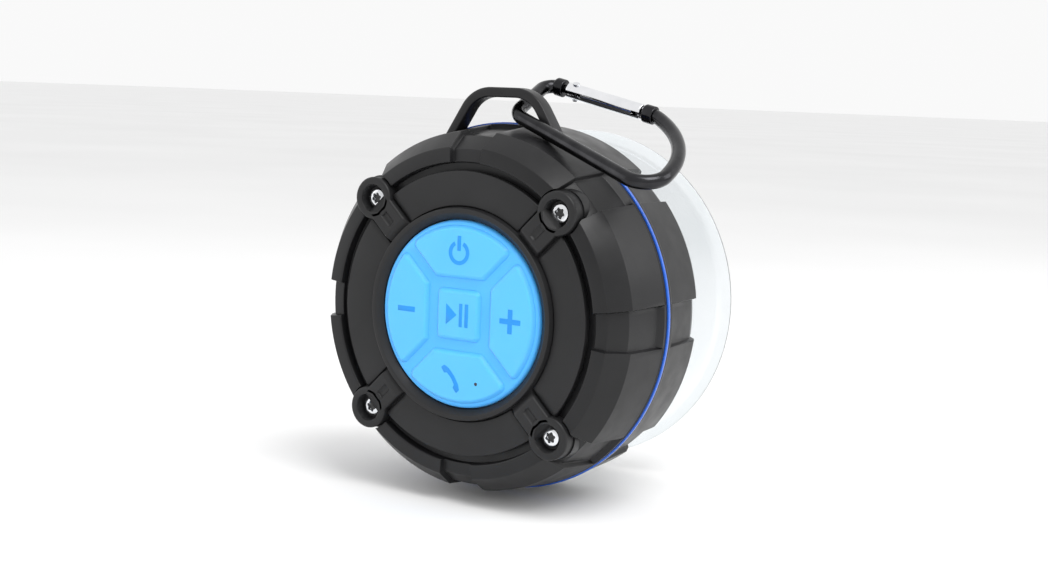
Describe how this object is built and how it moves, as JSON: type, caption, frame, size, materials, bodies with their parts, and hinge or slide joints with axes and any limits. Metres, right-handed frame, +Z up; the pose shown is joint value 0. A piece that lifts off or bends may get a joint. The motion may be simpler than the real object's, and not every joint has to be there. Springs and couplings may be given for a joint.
{
  "type": "shower speaker",
  "caption": "Round clip-on bathroom speaker: rubber-like key pad in a bolted front ring, loop handle with snap hook, and a screw-in suction cup behind.",
  "frame": {"origin": "centre of the suction cup's rim, on the wall plane", "axes": "+Y points into the wall, +Z is up, +X is to the right of someone facing the key pad; the key pad faces -Y"},
  "size_m": [0.0896, 0.057, 0.0967],
  "materials": {
    "housing_plastic": "satin black moulded shell",
    "cover_plastic": "semi-gloss black face ring",
    "blue_trim": "gloss blue",
    "blue_silicone": "soft light blue silicone",
    "dark_rubber": "matte",
    "steel": "plated",
    "brass": "turned",
    "grey_plastic": "moulded",
    "circuit_board": "solder mask",
    "black_component": "moulded",
    "battery_wrap": "pouch cell",
    "foam": "foam pad",
    "red_wire": "insulated wire",
    "ribbon": "flat cable",
    "screen_fabric": "fine acoustic cloth",
    "coated_steel": "dark coating",
    "ferrite": "sintered",
    "cone_paper": "pressed pulp",
    "copper_coil": "copper winding",
    "spider_cloth": "treated cloth",
    "clear_vinyl": "clear soft vinyl",
    "stud_plastic": "moulded",
    "black_anodised": "black anodised",
    "gate_chrome": "polished"
  },
  "bodies": {
    "mount_cup": {"suction_cup": "clear_vinyl", "cup_stud": "stud_plastic", "cup_collar": "stud_plastic"},
    "washer": {"stud_washer": "dark_rubber"},
    "housing": {"front_shell": "housing_plastic", "front_cover": "cover_plastic", "case_screws": "steel", "case_inserts": "brass", "trim_ring": "blue_trim", "case_seal": "dark_rubber", "rear_shell": "housing_plastic", "stud_bush": "brass", "handle": "housing_plastic", "usb_socket": "steel", "key_mat": "blue_silicone", "key_frame": "grey_plastic", "button_board": "circuit_board", "button_board_screws": "steel", "tact_switches": "black_component", "microphone": "black_component", "status_led": "grey_plastic", "main_board": "circuit_board", "main_board_screws": "steel", "radio_module": "steel", "board_chips": "black_component", "battery": "battery_wrap", "battery_pad": "foam", "battery_leads": "red_wire", "board_ribbon": "ribbon", "speaker_screen": "screen_fabric", "speaker_gasket": "dark_rubber", "speaker_basket": "coated_steel", "speaker_screws": "steel", "speaker_magnet": "ferrite", "speaker_yoke": "steel", "speaker_surround": "dark_rubber", "speaker_spider": "spider_cloth", "speaker_leads": "red_wire"},
    "port_cover": {"port_cover": "dark_rubber"},
    "cone": {"speaker_cone": "cone_paper", "voice_coil": "copper_coil"},
    "hook": {"hook_body": "black_anodised", "gate_pin": "steel"},
    "gate": {"hook_gate": "gate_chrome", "gate_spring": "steel"},
    "key_play": {"key_play": "blue_silicone"},
    "key_volume_up": {"key_volume_up": "blue_silicone"},
    "key_volume_down": {"key_volume_down": "blue_silicone"},
    "key_power": {"key_power": "blue_silicone"},
    "key_call": {"key_call": "blue_silicone"}
  },
  "joints": [
    {"name": "unscrew_travel", "type": "slide", "parent": "mount_cup", "child": "washer", "axis": [0, -1, 0], "range_m": [0, 0.006]},
    {"name": "unscrew_turn", "type": "hinge", "parent": "washer", "child": "housing", "pos_m": [0, -0.014, 0], "axis": [0, -1, 0], "range_deg": [0, 1440]},
    {"name": "port_flap", "type": "hinge", "parent": "housing", "child": "port_cover", "pos_m": [-0.04135, -0.0446, 0], "axis": [0, 0, 1], "range_deg": [0, 150], "stiffness_Nm_per_rad": 0.0004, "springref_deg": -34.38},
    {"name": "cone_stroke", "type": "slide", "parent": "housing", "child": "cone", "axis": [0, 1, 0], "range_m": [-0.001, 0.001], "stiffness_N_per_m": 900},
    {"name": "hook_swing", "type": "hinge", "parent": "housing", "child": "hook", "pos_m": [0.01222, -0.03925, 0.04452], "axis": [-0.1309, -0.4078, 0.9036], "range_deg": [0, 50]},
    {"name": "gate_open", "type": "hinge", "parent": "hook", "child": "gate", "pos_m": [0.0094, -0.02424, 0.05049], "axis": [-0.2082, 0.3604, -0.9093], "range_deg": [0, 30], "stiffness_Nm_per_rad": 0.004, "springref_deg": -20.05},
    {"name": "play_press", "type": "slide", "parent": "housing", "child": "key_play", "axis": [0, 1, 0], "range_m": [0, 0.0006], "stiffness_N_per_m": 1500},
    {"name": "volume_up_press", "type": "slide", "parent": "housing", "child": "key_volume_up", "axis": [0, 1, 0], "range_m": [0, 0.0006], "stiffness_N_per_m": 1500},
    {"name": "volume_down_press", "type": "slide", "parent": "housing", "child": "key_volume_down", "axis": [0, 1, 0], "range_m": [0, 0.0006], "stiffness_N_per_m": 1500},
    {"name": "power_press", "type": "slide", "parent": "housing", "child": "key_power", "axis": [0, 1, 0], "range_m": [0, 0.0006], "stiffness_N_per_m": 1500},
    {"name": "call_press", "type": "slide", "parent": "housing", "child": "key_call", "axis": [0, 1, 0], "range_m": [0, 0.0006], "stiffness_N_per_m": 1500}
  ],
  "couplings": [
    {"joint": "unscrew_travel", "follows": "unscrew_turn", "m_per_rad": 0.00023873}
  ]
}
